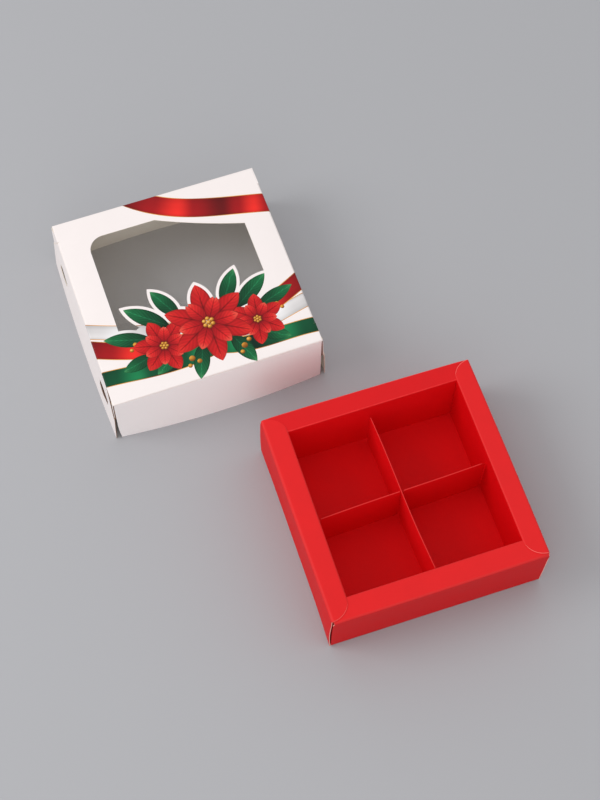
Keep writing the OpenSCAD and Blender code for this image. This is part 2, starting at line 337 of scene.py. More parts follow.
class FrameFold:
    """The folded frame in section: wall, outer crease, rim, inner crease and inner wall."""

    def __init__(self, outside, inside, top):
        self.outside = outside
        self.inside = inside
        self.top = top
        self.wall_end = top - crease_r - rim_crease_r
        self.flat_start = self.wall_end + rim_quarter
        self.flat_end = self.flat_start + outside - inside - rim_crease_r - crease_r
        self.rim_end = self.flat_end + quarter
        self.inner_end = self.rim_end + top - crease_r - board

    def section(self, along):
        """How far out, how far up and how far turned the card is at a place along the blank."""
        if along <= self.wall_end:
            return self.outside, crease_r + along, 0.0
        if along <= self.flat_start:
            turn = (along - self.wall_end) / rim_crease_r
            return (self.outside - rim_crease_r * (1 - math.cos(turn)),
                    self.top - rim_crease_r * (1 - math.sin(turn)), turn)
        if along <= self.flat_end:
            return self.outside - rim_crease_r - (along - self.flat_start), self.top, math.pi / 2
        if along <= self.rim_end:
            turn = (along - self.flat_end) / crease_r
            return (self.inside + crease_r * (1 - math.sin(turn)), self.top - crease_r * (1 - math.cos(turn)),
                    math.pi / 2 + turn)
        return self.inside, self.top - crease_r - (along - self.rim_end), math.pi


side_fold = FrameFold(tray_x, cell_x, tray_top)
end_fold = FrameFold(tray_y, cell_y, tray_top - board)


def spring(springs, word, at):
    """How far a crease stands out at a place along it: the middle's share and its tilt."""
    half, tilt = springs[word]
    return half + tilt * at / tray_x


def frame_place(fold, word, side, across, start, end):
    """Folds one panel of the frame, on the side -1 or 1. across says that it runs along X."""
    def place(at, along):
        out, up, turn = fold.section(along)
        rise = up / fold.top
        over = min(max((out - fold.inside) / (fold.outside - fold.inside), 0), 1)
        belly = 1 - (at / fold.outside) ** 2
        bends = start == fold.wall_end
        foot = foot_springs[word]
        stand = spring(inner_springs, word, at) * (1 - over) * rise
        stand += (foot + (spring(rim_springs, word, at) - foot + rim_bow * belly) * rise) * over
        if not bends:
            stand -= wall_bow * math.sin(math.pi * (along - start) / (end - start)) * belly * math.cos(turn)
        creased = math.sin(2 * turn) ** 2 if bends else 0
        lean = 0
        if across:
            droop = corner_droop * math.exp(-((fold.outside - abs(at)) / 3.5) ** 2) * over ** 4
            up -= droop * rise
            if turn == 0:
                free = min((up - crease_r) / 4, (fold.top - rim_crease_r - up) / 6, 1)
                lean = max(0, (abs(at) - fold.outside + curl_r) / curl_r) * curl_turn * max(0, free)
                stand -= curl_r * (1 - math.cos(lean))
        else:
            stand += gape(side, at, rise) * over ** 4
        out += stand
        plan = Vector((math.copysign(math.sin(lean), at), side * math.cos(lean))) * math.cos(turn)
        if across:
            return Vector((at, side * out, up)), Vector((*plan, math.sin(turn))), creased
        return Vector((side * out, at, up)), Vector((*plan.yx, math.sin(turn))), creased

    return place


def frame_panel(name, place, alongs, reach, skins):
    """Cuts one panel of the frame, which reaches from reach()[0] to reach()[1] across."""
    low = [(reach(along)[0], along) for along in alongs]
    high = [(reach(along)[1], along) for along in alongs]
    ats = across_panel(max(at for at, _ in high))
    return card_sheet(
        name, [low + high[::-1]], grid(ats, alongs),
        lambda at, along: reach(along)[0] < at < reach(along)[1] and alongs[0] < along < alongs[-1], place, skins
    )


tip_r = 0.5
rim_shorts = {(-1, -1): 0.1, (1, -1): 0.5, (-1, 1): 0.2, (1, 1): 0.2}


def side_rim_reach(side):
    """A side rim ends in a quarter round from the inner corner to the tray's outer edge."""
    def reach(along):
        out = side_fold.section(along)[0]
        share = math.sqrt(max(1 - ((tray_x - out) / rim_w) ** 2, 0))
        past_tip = max(0, out - tray_x + tip_r)
        tip = tip_r - math.sqrt(tip_r ** 2 - past_tip ** 2)
        ends = []
        for sign, word in ((-1, "front"), (1, "back")):
            inner = cell_y + spring(inner_springs, word, side * cell_x)
            ends.append(sign * (inner + (tray_y - inner - rim_shorts[side, sign]) * share - tip))
        return tuple(ends)

    return reach


def side_wall_ends(side):
    """A side wall reaches past the corner a little, and is cut back to the rim at its top."""
    rim_reach = side_rim_reach(side)(side_fold.wall_end)

    def reach(along):
        near_top = max(0, (along - side_fold.wall_end + 3) / 3) ** 2
        return tuple(math.copysign(tray_y + 0.15, r) * (1 - near_top) + r * near_top for r in rim_reach)

    return reach


def inner_reach(fold, side, half, low_word, high_word):
    """An inner wall meets its neighbours, which lean towards it or away from it."""
    def reach(along):
        rise = fold.section(along)[1] / fold.top
        low, high = (spring(inner_springs, word, side * fold.inside) * rise for word in (low_word, high_word))
        return -half - low, half + high

    return reach


def end_rim_reach(side):
    """An end rim runs under the side rims, and its inner crease meets theirs."""
    meets = inner_reach(end_fold, side, cell_x + 0.3, "left", "right")
    return lambda along: (-tray_between, tray_between) if along < end_fold.flat_end else meets(along)


def end_wall_ends(along):
    """An end wall reaches just under the side walls, and is cut back to the rim at its top."""
    near_top = max(0, (along - end_fold.wall_end + 1.2) / 1.2) ** 2
    rise = (crease_r + along) / tray_top
    feet = [tray_x - 0.1 + foot_springs[word] + (0.2 - foot_springs[word]) * rise for word in ("left", "right")]
    low, high = (half * (1 - near_top) + tray_between * near_top for half in feet)
    return -low, high


def rim_alongs(fold, curved):
    """Places over a rim: close together in the creases, and for a curved cut by equal turns."""
    if curved:
        turns = [i * math.pi / 36 for i in range(3, 18)]
        outs = [tray_x - rim_w * math.sin(t) for t in turns]
        flat = [fold.flat_start + tray_x - rim_crease_r - out for out in outs]
        flat = [along for along in flat if fold.flat_start + 0.2 < along < fold.flat_end - 0.1]
    else:
        flat = steps(fold.flat_start, fold.flat_end, 1.2)[1:-1]
    return steps(fold.wall_end, fold.flat_start, 0.25) + flat + steps(fold.flat_end, fold.rim_end, 0.2)


inside_skins = (tray_inside, tray_inside, tray_raw)
right_inside_shaded_skins = (tray_right_inside_painted_shade, tray_inside, tray_raw)
cut_edges = []
for word, side in (("left", -1), ("right", 1)):
    fold = side_fold
    hand_over(frame_panel(
        f"tray_{word}_wall_card", frame_place(fold, word, side, False, 0, fold.wall_end),
        steps(0, fold.wall_end, 3), side_wall_ends(side), shaded_wall_skins
    ), "tray", "tray_red_card", f"tray_{word}_wall")
    rim_place = frame_place(fold, word, side, False, fold.wall_end, fold.rim_end)
    over_rim = rim_alongs(fold, True)
    rim_reach = side_rim_reach(side)
    hand_over(
        frame_panel(f"tray_{word}_rim_card", rim_place, over_rim, rim_reach, tray_skins),
        "tray", "tray_red_card", f"tray_{word}_rim"
    )
    for end in (0, 1):
        cut_edges.append((side, end, [rim_place(rim_reach(along)[end], along) for along in over_rim[:-3]]))
    hand_over(frame_panel(
        f"tray_{word}_inner_wall_card", frame_place(fold, word, side, False, fold.rim_end, fold.inner_end),
        steps(fold.rim_end, fold.inner_end, 4), inner_reach(fold, side, cell_y, "front", "back"),
        right_inside_shaded_skins if side > 0 else inside_skins
    ), "tray", "tray_inside_card", f"tray_{word}_inner_wall")
for word, side in (("front", -1), ("back", 1)):
    fold = end_fold
    hand_over(frame_panel(
        f"tray_{word}_wall_card", frame_place(fold, word, side, True, 0, fold.wall_end),
        steps(0, fold.wall_end - 1.2, 3) + steps(fold.wall_end - 1.2, fold.wall_end, 0.4)[1:], end_wall_ends,
        shaded_wall_skins
    ), "tray", "tray_red_card", f"tray_{word}_wall")
    hand_over(frame_panel(
        f"tray_{word}_rim_card", frame_place(fold, word, side, True, fold.wall_end, fold.rim_end),
        rim_alongs(fold, False), end_rim_reach(side), back_rim_painted_skins if side > 0 else tray_skins
    ), "tray", "tray_red_card", f"tray_{word}_rim")
    hand_over(frame_panel(
        f"tray_{word}_inner_wall_card", frame_place(fold, word, side, True, fold.rim_end, fold.inner_end),
        steps(fold.rim_end, fold.inner_end, 4), inner_reach(fold, side, cell_x, "left", "right"), inside_skins
    ), "tray", "tray_inside_card", f"tray_{word}_inner_wall")

# Cut burr: the die leaves a fine raised lip of coating along the round cuts of the side rims.
# It follows each cut and thins out towards its ends; its pale colour is a painted highlight where it catches the
# light.
burr_sides = 8
burr_sizes = {(-1, 0): 0.1, (1, 0): 0.16, (-1, 1): 0.03, (1, 1): 0.16}
burr_painted_highlight = card_face("lip of red coating, painted highlight", srgb(246, 104, 98), srgb(255, 150, 140), 0.45, shine=0.3)


def bead_tree(name, material):
    """Geometry nodes that draw a round bead along every edge, as thick as its bead_size says."""
    tree = bpy.data.node_groups.new(name, "GeometryNodeTree")
    for label, kind in (("Paths", "NodeSocketGeometry"), ("Bead radius", "NodeSocketFloat"),
                        ("Bead sides", "NodeSocketInt")):
        tree.interface.new_socket(label, in_out="INPUT", socket_type=kind)
    tree.interface.new_socket("Beads", in_out="OUTPUT", socket_type="NodeSocketGeometry")
    start = tree.nodes.new("NodeGroupInput")
    curve = tree.nodes.new("GeometryNodeMeshToCurve")
    ring = tree.nodes.new("GeometryNodeCurvePrimitiveCircle")
    size = tree.nodes.new("GeometryNodeInputNamedAttribute")
    size.data_type = "FLOAT"
    size.inputs["Name"].default_value = "bead_size"
    sweep = tree.nodes.new("GeometryNodeCurveToMesh")
    sweep.inputs["Fill Caps"].default_value = True
    smooth = tree.nodes.new("GeometryNodeSetShadeSmooth")
    real = tree.nodes.new("GeometryNodeRealizeInstances")
    finish = tree.nodes.new("GeometryNodeSetMaterial")
    finish.inputs["Material"].default_value = material
    end = tree.nodes.new("NodeGroupOutput")
    join = tree.links.new
    join(start.outputs["Paths"], curve.inputs["Mesh"])
    join(start.outputs["Bead sides"], ring.inputs["Resolution"])
    join(start.outputs["Bead radius"], ring.inputs["Radius"])
    join(curve.outputs["Curve"], sweep.inputs["Curve"])
    join(ring.outputs["Curve"], sweep.inputs["Profile Curve"])
    join(size.outputs["Attribute"], sweep.inputs["Scale"])
    join(sweep.outputs["Mesh"], smooth.inputs["Geometry"])
    join(smooth.outputs["Geometry"], real.inputs["Geometry"])
    join(real.outputs["Geometry"], finish.inputs["Geometry"])
    join(finish.outputs["Geometry"], end.inputs["Beads"])
    return tree


def beads(name, paths, radius, sides, material):
    """One piece of beads along paths of points, each point with its own share of the radius."""
    points = [point for path in paths for point, _ in path]
    edges = []
    first = 0
    for path in paths:
        edges += [(first + i, first + i + 1) for i in range(len(path) - 1)]
        first += len(path)
    data = bpy.data.meshes.new(name)
    data.from_pydata([point * mm for point in points], edges, [])
    size = data.attributes.new("bead_size", "FLOAT", "POINT")
    size.data.foreach_set("value", [share for path in paths for _, share in path])
    draft = bpy.data.objects.new(name + "_paths", data)
    bpy.context.scene.collection.objects.link(draft)
    tree = bead_tree(name, material)
    modifier = draft.modifiers.new("beads", "NODES")
    modifier.node_group = tree
    inputs = {item.name: item.identifier for item in tree.interface.items_tree if item.in_out == "INPUT"}
    modifier[inputs["Bead radius"]] = radius * mm
    modifier[inputs["Bead sides"]] = sides
    evaluated = draft.evaluated_get(bpy.context.evaluated_depsgraph_get())
    piece = bpy.data.objects.new(name, bpy.data.meshes.new_from_object(evaluated))
    bpy.context.scene.collection.objects.link(piece)
    bpy.data.objects.remove(draft)
    return piece


burr_paths = []
for side, end, cut in cut_edges:
    last = len(cut) - 1
    burr_paths.append([
        (point - normal * board * 0.2, burr_sizes[side, end] / burr_sizes[1, 0] * (0.3 + 0.7 * math.sin(math.pi * i / last)))
        for i, (point, normal, _) in enumerate(cut)
    ])
burr = beads("tray_rim_cut_lips", burr_paths, burr_sizes[1, 0], burr_sides, burr_painted_highlight)
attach(burr, "tray")

# Corner flaps: they lie inside the hollow walls, and only their card can be seen through
# the slits at the corners, so the plain cut shape stays.
for corner in ("front_left", "front_right", "back_left", "back_right"):
    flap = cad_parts[f"tray_{corner}_flap"]
    flap.data.materials.clear()
    flap.data.materials.append(tray_inside)

# Divider strips: two loose strips of the same card, slotted to half their height and
# pushed into each other. They stand a little askew, and their cut edges catch the light.
strip_bow = 0.35
divider_face = card_face("divider red coating", srgb(222, 11, 18), srgb(236, 50, 50), 0.6, shine=0.12)
divider_edge = raw_edge("divider card edge", srgb(230, 66, 62), srgb(210, 38, 42))
cross_turn = math.radians(2)
strip_h = (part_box("divider_left_right")[1][2] - board * mm) / mm
strip_half = cell_x - 2
slot_half = (board + 0.7) / 2
mouth_half = 1.1
mouth_h = 2.2
strip_facts = (
    ("left_right_strip_card", "divider_left_right", cross_turn, True, 0.0, 0.25, -0.1, 1.7, 2.0),
    ("front_back_strip_card", "divider_front_back", cross_turn + math.pi / 2, False, 0.3, 0.45, -0.35, 0.0, 0.3),
)
for name, node, turn, from_top, spare, bow, belly, longer, corner_cut in strip_facts:
    far = strip_half + longer
    blank = [(-strip_half, 0), (far, 0), (far, strip_h - corner_cut), (far - corner_cut, strip_h), (-strip_half, strip_h)]
    slot_top = strip_h / 2 + spare
    ends = [(-slot_half, slot_top), (-slot_half, mouth_h), (-mouth_half, 0), (mouth_half, 0),
            (slot_half, mouth_h), (slot_half, slot_top)]
    notch = [(x, strip_h - y) if from_top else (x, y) for x, y in ends]

    def in_notch(x, y, from_top=from_top, slot_top=slot_top):
        y = strip_h - y if from_top else y
        half = slot_half + max(0, (mouth_h - y) / mouth_h) * (mouth_half - slot_half)
        return y < slot_top and abs(x) < half

    def on_strip(x, y, turn=turn, bow=bow, belly=belly):
        share = x / strip_half
        off = bow * (math.sin(math.pi * share) * 0.6 + 0.4 * (share ** 2 - share ** 4)) + belly * (1 - share ** 2)
        off *= 0.4 + 0.6 * y / strip_h
        along = Vector((math.cos(turn), math.sin(turn), 0))
        face = Vector((math.sin(turn), -math.cos(turn), 0))
        return along * x + face * (board / 2 + off) + Vector((0, 0, board + y)), face, 0.0

    strip = card_sheet(
        name, [blank, notch], grid(steps(-strip_half, far, 3), steps(0, strip_h, 5)),
        lambda x, y: not in_notch(x, y) and x + y < far + strip_h - corner_cut, on_strip,
        (divider_face, divider_face, divider_edge)
    )
    hand_over(strip, node, "divider_card", node)

# Lid blank: white coated card, printed on its face, with creases at all four sides. It lies
# beside the tray, turned a little. Its walls stand open towards the foot and bow outwards.
lid_low, lid_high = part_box("lid_top")
lid_turn = math.radians(1.2)
lid_middle = Vector(((lid_low[0] + lid_high[0]) / 2 / mm, (lid_low[1] + lid_high[1]) / 2 / mm, 0))
crease_pull = 0.25
lid_half = (lid_high[0] - lid_low[0]) / 2 / mm / (math.cos(lid_turn) + math.sin(lid_turn)) - crease_pull
lid_h = lid_high[2] / mm
lid_place = Matrix.Rotation(lid_turn, 3, "Z")
layer_gap = 0.1
lid_between = lid_half - board - layer_gap
side_flare = 1.85
side_bow = 1.2
side_tilts = {-1: 0.3, 1: 0.0}
corner_push = 0.5
corner_push_l = 10.0
end_bow = 2.75
lock_z = 18.6
relief_l = 10.5
lock_slot_in = 17.6
lock_slot_l = 14.0
lock_slot_h = 3.8
tongue_rest = 1.1
tongue_fall = math.radians(27)
fold_flat = lid_half - crease_r
fold_end = fold_flat + quarter
side_fold_half = lid_half - relief_l
lip_outs = {-1: 0.4, 1: 0.15}
lip_in = 0.15
lip_half = 7.5
lip_h = 1.8
end_curl = 0.4


def stands_out(at, flare, bow):
    """How far a wall's foot stands out at a place along it."""
    return flare + bow * (1 - (at / lid_half) ** 2)


slot_at = lid_half - lock_slot_in
slot_out = stands_out(slot_at, side_flare, side_bow) * (1 - lock_z / lid_h)
slot_low = lock_z - (slot_out + board + layer_gap) * math.tan(tongue_fall) - tongue_rest
slot_high = slot_low + lock_slot_h


def slot_lip(at, z):
    """How far a side wall is pushed out below a lock slot, and pulled in above it."""
    along = min(abs(abs(at) - slot_at) / lip_half, 1)
    swell = math.cos(math.pi / 2 * along) ** 2
    if z < (slot_low + slot_high) / 2:
        return lip_outs[-1 if at < 0 else 1] * swell * math.exp(-((z - slot_low) / lip_h) ** 2)
    return -lip_in * swell * math.exp(-((z - slot_high) / lip_h) ** 2)


def pushed_corner(side, at, drop):
    """How far the lock flap's fold pushes the end of the right wall out at half its height."""
    if side < 0:
        return 0
    return corner_push * math.sin(math.pi * drop / lid_h) * math.exp(-((lid_half - abs(at)) / corner_push_l) ** 2)


def on_lid(x, y):
    """Where a point of the lid's flat blank is when the blank is folded."""
    if abs(x) > fold_flat and abs(y) <= side_fold_half + 0.1 or abs(x) > fold_end:
        out, drop, turn = rolled(abs(x), fold_flat)
        side = -1 if x < 0 else 1
        lean = (stands_out(y, side_flare, side_bow) + side_tilts[side] * y / lid_half) * drop / lid_h
        lean += slot_lip(y, lid_h - drop) + pushed_corner(side, y, drop)
        point = Vector((math.copysign(out + lean, x), y, lid_h - drop))
        normal = Vector((math.copysign(math.sin(turn), x), 0, math.cos(turn)))
    elif abs(y) > fold_flat:
        out, drop, turn = rolled(abs(y), fold_flat)
        lean = stands_out(x, 0, end_bow) * drop / lid_h
        curled = max(0, (abs(x) - lid_between + end_curl) / end_curl) * min(drop / 4, 1)
        out -= end_curl * (1 - math.cos(curled))
        point = Vector((x, math.copysign(out + lean, y), lid_h - drop))
        level = Vector((math.copysign(math.sin(curled), x), math.copysign(math.cos(curled), y))) * math.sin(turn)
        normal = Vector((*level, math.cos(turn)))
    else:
        turn = 0
        point = Vector((x, y, lid_h))
        normal = Vector((0, 0, 1))
    return lid_place @ point + lid_middle, lid_place @ normal, math.sin(2 * turn) ** 2


# Print: a generic winter design in red, green and gold. It is drawn on the flat blank: satin
# bands, pointed leaves, six-petalled flowers and small gold beads, one over the other.
flowers = [
    # middle x, middle y, petals, length, width, first direction
    (4, -25, 6, 22, 10, 90), (-20, -30, 6, 15, 8, 105), (27, -31, 6, 14, 7.5, 80),
]
upper_leaves = [
    # foot x, foot y, direction, length, width
    (-8, -18, 118, 21, 8), (-14, -21, 140, 25, 8.5), (-24, -25, 163, 24, 8),
    (13, -19, 58, 22, 8), (19, -22, 36, 24, 8.5), (28, -25, 18, 22, 7.5),
]
lower_leaves = [
    (-12, -33, 215, 19, 8), (-2, -34, 250, 20, 8), (12, -34, 292, 20, 8),
    (24, -36, 330, 18, 7.5), (-26, -33, 195, 17, 7),
]
grounds = [
    # middle x, middle y, radius of the white ground under the flowers
    (4, -25, 13.5), (-15, -20, 8.5), (-27, -22, 5.5), (-20, -30, 9), (18, -19, 8.5), (35, -17, 7), (27, -31, 9),
]
petal_foot = 1.5
border = 1.5


def gradient(add, stops):
    ramp = add("ShaderNodeValToRGB")
    ramp.color_ramp.interpolation = "EASE"
    while len(ramp.color_ramp.elements) < len(stops):
        ramp.color_ramp.elements.new(0.5)
    for element, (at, colour) in zip(ramp.color_ramp.elements, stops):
        element.position = at
        element.color = colour
    return ramp


def ink(name, along, across, ribs=0.0, rib_count=9.0):
    """Printed ink: one gradient along a shape, one across it that multiplies it, and ribs."""
    material, shader, add, join = new_material(name)
    split = add("ShaderNodeSeparateXYZ")
    join(add("ShaderNodeUVMap", uv_map="print").outputs["UV"], split.inputs[0])
    down = gradient(add, along)
    over = gradient(add, across)
    join(split.outputs["X"], down.inputs[0])
    join(split.outputs["Y"], over.inputs[0])
    mix = add("ShaderNodeMix", data_type="RGBA", blend_type="MULTIPLY", Factor=1.0)
    join(down.outputs["Color"], mix.inputs["A"])
    join(over.outputs["Color"], mix.inputs["B"])
    colour = mix.outputs["Result"]
    if ribs:
        off = add("ShaderNodeMath", operation="SUBTRACT")
        join(split.outputs["Y"], off.inputs[0])
        off.inputs[1].default_value = 0.5
        side = add("ShaderNodeMath", operation="ABSOLUTE")
        join(off.outputs[0], side.inputs[0])
        slant = add("ShaderNodeMath", operation="MULTIPLY_ADD")
        join(side.outputs[0], slant.inputs[0])
        slant.inputs[1].default_value = -0.55
        join(split.outputs["X"], slant.inputs[2])
        wave = add("ShaderNodeMath", operation="MULTIPLY")
        join(slant.outputs[0], wave.inputs[0])
        wave.inputs[1].default_value = rib_count * 2 * math.pi
        sine = add("ShaderNodeMath", operation="SINE")
        join(wave.outputs[0], sine.inputs[0])
        level = add("ShaderNodeMapRange")
        level.inputs["From Min"].default_value = -1
        level.inputs["To Min"].default_value = 1 - ribs
        level.inputs["To Max"].default_value = 1 + ribs * 0.6
        join(sine.outputs[0], level.inputs["Value"])
        scaled = add("ShaderNodeVectorMath", operation="SCALE")
        join(colour, scaled.inputs[0])
        join(level.outputs["Result"], scaled.inputs["Scale"])
        colour = scaled.outputs[0]
    join(colour, shader.inputs["Base Color"])
    fine = add("ShaderNodeTexNoise", Scale=1400.0, Detail=4.0, Roughness=0.7)
    join(add("ShaderNodeTexCoord").outputs["Object"], fine.inputs["Vector"])
    bump = add("ShaderNodeBump", Strength=0.2, Distance=0.00004)
    join(fine.outputs["Fac"], bump.inputs["Height"])
    join(bump.outputs["Normal"], shader.inputs["Normal"])
    shader.inputs["Roughness"].default_value = 0.42
    shader.inputs["Specular IOR Level"].default_value = 0.2
    return material


white = (1, 1, 1, 1)
grey = (0.55, 0.55, 0.55, 1)
gold_line = srgb(214, 150, 60)
petal_ink = ink("petal ink", [
    (0, srgb(78, 6, 12)), (0.25, srgb(142, 12, 20)), (0.6, srgb(196, 24, 28)), (1, srgb(220, 44, 38))
], [
    (0, (0.5, 0.4, 0.4, 1)), (0.1, (0.85, 0.85, 0.85, 1)), (0.44, white), (0.5, (0.42, 0.3, 0.3, 1)),
    (0.56, white), (0.9, (0.85, 0.85, 0.85, 1)), (1, (0.5, 0.4, 0.4, 1))
], 0.12, 8)
young_petal_ink = ink("young petal ink", [
    (0, srgb(104, 8, 16)), (0.3, srgb(172, 16, 24)), (0.7, srgb(216, 36, 36)), (1, srgb(236, 84, 68))
], [
    (0, (0.45, 0.35, 0.35, 1)), (0.12, (0.9, 0.9, 0.9, 1)), (0.44, white), (0.5, (0.5, 0.35, 0.35, 1)),
    (0.56, white), (0.88, (0.9, 0.9, 0.9, 1)), (1, (0.45, 0.35, 0.35, 1))
], 0.12, 7)
leaf_ink = ink("leaf ink", [
    (0, srgb(6, 36, 22)), (0.4, srgb(12, 74, 44)), (0.8, srgb(22, 102, 60)), (1, srgb(56, 132, 80))
], [
    (0, (0.45, 0.5, 0.45, 1)), (0.12, (0.9, 0.9, 0.9, 1)), (0.45, white), (0.5, (2.2, 1.9, 2.0, 1)),
    (0.55, white), (0.88, (0.9, 0.9, 0.9, 1)), (1, (0.45, 0.5, 0.45, 1))
], 0.2, 10)
bead_ink = ink("gold bead ink", [
    (0, srgb(150, 96, 30)), (0.2, srgb(226, 168, 70)), (0.36, srgb(255, 232, 160)), (0.55, srgb(224, 160, 62)),
    (0.85, srgb(160, 98, 30)), (1, srgb(120, 70, 22))
], [(0, (0.6, 0.55, 0.5, 1)), (0.35, (0.85, 0.85, 0.8, 1)), (0.65, white), (1, (0.95, 0.95, 0.9, 1))])


def satin(name, deep, middle, bright):
    """A printed ribbon of satin with a thin gold line along each edge."""
    return ink(name, [
        (0, deep), (0.2, middle), (0.37, bright), (0.48, middle), (0.66, deep), (0.76, middle),
        (0.86, bright), (0.94, middle), (1, deep)
    ], [(0, (0.75, 0.75, 0.75, 1)), (0.2, white), (0.6, (0.9, 0.9, 0.9, 1)), (1, (0.7, 0.7, 0.7, 1))])


red_satin = satin("red satin ink", srgb(104, 10, 14), srgb(162, 16, 22), srgb(238, 44, 36))
green_satin = satin("green satin ink", srgb(6, 40, 28), srgb(8, 78, 48), srgb(24, 126, 76))
pale_satin = satin("silver satin ink", srgb(196, 192, 192), srgb(222, 218, 218), srgb(244, 242, 242))
gold_satin = ink("gold edge ink", [
    (0, srgb(150, 84, 30)), (0.25, srgb(226, 160, 74)), (0.5, srgb(160, 92, 34)), (0.75, srgb(232, 170, 84)),
    (1, srgb(150, 84, 30))
], [(0, white), (1, white)])


def leaf_shape(x, y, direction, length, width, colour, foot=0.0):
    """A pointed leaf between two arcs, as an outline, a test and its own along and across."""
    ca, sa = math.cos(math.radians(direction)), math.sin(math.radians(direction))
    length -= foot
    x, y = x + foot * ca, y + foot * sa
    r = (length ** 2 + width ** 2) / (4 * width)

    def half(a):
        return max(math.sqrt(max(r ** 2 - (a - length / 2) ** 2, 0)) - (r - width / 2), 1e-6)

    def local(px, py):
        return (px - x) * ca + (py - y) * sa, -(px - x) * sa + (py - y) * ca

    def covers(px, py):
        a, b = local(px, py)
        return 0 < a < length and abs(b) < half(a)

    def uv(px, py):
        a, b = local(px, py)
        share = min(max(a / length, 0), 1)
        return share, 0.5 + 0.5 * max(-1, min(1, b / half(a)))

    alongs = steps(0, length, 1.1)
    rim = [(a, half(a)) for a in alongs] + [(a, -half(a)) for a in reversed(alongs[1:-1])]
    outline = [(x + a * ca - b * sa, y + a * sa + b * ca) for a, b in rim]
    return {"ink": colour, "loops": [outline], "covers": covers, "uv": uv}


def bead_shape(x, y, r, colour):
    sides = 20
    outline = [(x + r * math.cos(2 * math.pi * i / sides), y + r * math.sin(2 * math.pi * i / sides))
               for i in range(sides)]

    def uv(px, py):
        shine = math.hypot(px - x + 0.3 * r, py - y - 0.35 * r) / (1.46 * r)
        return min(0.36 + 0.64 * shine, 1), 0.5 + 0.5 * (py - y) / r

    return {"ink": colour, "loops": [outline], "covers": lambda px, py: math.hypot(px - x, py - y) < r, "uv": uv}


def ribbon_shape(ends, width, colour, start=-0.5, end=0.5):
    """A band along a curve through four control points, from start to end of its width."""
    count = 48
    spine = []
    for i in range(count + 1):
        t = i / count
        weights = ((1 - t) ** 3, 3 * t * (1 - t) ** 2, 3 * t * t * (1 - t), t ** 3)
        slopes = (-3 * (1 - t) ** 2, 3 * (1 - t) ** 2 - 6 * t * (1 - t), 6 * t * (1 - t) - 3 * t * t, 3 * t * t)
        point = sum((Vector(p) * w for p, w in zip(ends, weights)), Vector((0, 0)))
        slope = sum((Vector(p) * w for p, w in zip(ends, slopes)), Vector((0, 0))).normalized()
        spine.append((point, Vector((-slope.y, slope.x)), slope))

    def local(px, py):
        p = Vector((px, py))
        near = min(range(count + 1), key=lambda i: (spine[i][0] - p).length_squared)
        point, across, slope = spine[near]
        return near + (p - point).dot(slope) * count / length, (p - point).dot(across) / width

    length = sum((spine[i + 1][0] - spine[i][0]).length for i in range(count))

    def covers(px, py):
        a, b = local(px, py)
        return start < b < end and 0 <= a <= count

    def uv(px, py):
        a, b = local(px, py)
        return min(max(a / count, 0), 1), min(max((b - start) / (end - start), 0), 1)

    low = [tuple(point + across * start * width) for point, across, _ in spine]
    high = [tuple(point + across * end * width) for point, across, _ in spine]
    return {"ink": colour, "loops": [low + high[::-1]], "covers": covers, "uv": uv}


def ribbon(ends, width, colour):
    """A satin ribbon between its two gold edges, the edges on top."""
    line = 0.35 / width
    return [
        ribbon_shape(ends, width, gold_satin, -0.5, -0.5 + line),
        ribbon_shape(ends, width, gold_satin, 0.5 - line, 0.5),
        ribbon_shape(ends, width, colour),
    ]


prints = []
for x, y, petals, length, width, first in flowers:
    ring = length * 0.1
    prints.append(bead_shape(x, y, length * 0.055, bead_ink))
    for i in range(petals):
        angle = math.radians(first + 360 * i / petals)
        prints.append(bead_shape(x + ring * math.cos(angle), y + ring * math.sin(angle), length * 0.05, bead_ink))
for x, y, petals, length, width, first in flowers:
    prints += [leaf_shape(x, y, first + (i + 0.5) * 360 / petals, length * 0.68, width * 0.8, young_petal_ink,
                          petal_foot) for i in range(petals)]
    prints += [leaf_shape(x, y, first + i * 360 / petals, length, width, petal_ink, petal_foot)
               for i in range(petals)]
prints += [bead_shape(x, y, r, bead_ink) for x, y, r in (
    (-9.5, -41, 1.5), (-6.5, -43.5, 1.2), (-11.5, -44.5, 1.1), (16.5, -42.5, 1.5), (19.5, -40, 1.2),
    (14.5, -45.5, 1.1), (-33, -25, 1.2), (-35.5, -27.5, 1.0), (38.5, -26, 1.2), (40.5, -28.5, 1.0),
)]
prints += [leaf_shape(*leaf, leaf_ink) for leaf in upper_leaves + lower_leaves]
prints += ribbon([(-14, 58), (6, 37.5), (30, 37), (58, 29)], 11, red_satin)
prints += ribbon([(-60, -18), (-34, -30), (-18, -34), (4, -30)], 9.5, red_satin)
prints += ribbon([(60, -14), (34, -27), (18, -33), (4, -28)], 9.5, red_satin)
prints += ribbon([(-60, -38), (-38, -38), (-20, -44), (4, -38)], 8.5, green_satin)
prints += ribbon([(60, -44), (38, -40), (20, -46), (4, -38)], 8.5, green_satin)
prints += ribbon([(60, -27), (38, -31), (20, -38), (4, -36)], 8, pale_satin)
prints += ribbon([(-60, -8), (-40, -16), (-20, -24), (0, -24)], 8, pale_satin)

# Lid top: the printed panel with the window cut out of it. The cut follows the leaves and
# flowers at the front, leaves a round corner at the back left, and runs beside the ribbon.
window_w = 77.2
window_back = 39.0
window_front = 21.5
window_corner_r = 8.0
window_front_r = 3.0
ribbon_edge_back = Vector((-3.5, window_back))
ribbon_edge_side = Vector((window_w / 2, 22.6))
ribbon_edge_sag = 0.9
chord = ribbon_edge_side - ribbon_edge_back
edge_r = ((chord.length / 2) ** 2 + ribbon_edge_sag ** 2) / (2 * ribbon_edge_sag)
edge_middle = (ribbon_edge_back + ribbon_edge_side) / 2 + \
    Vector((-chord.y, chord.x)).normalized() * (edge_r - ribbon_edge_sag)


def arc(x, y, r, start, end, widest=1.2):
    """Points of an arc about x, y from start to end, in degrees."""
    turns = steps(math.radians(start), math.radians(end), widest / r)
    return [(x + r * math.cos(t), y + r * math.sin(t)) for t in turns]


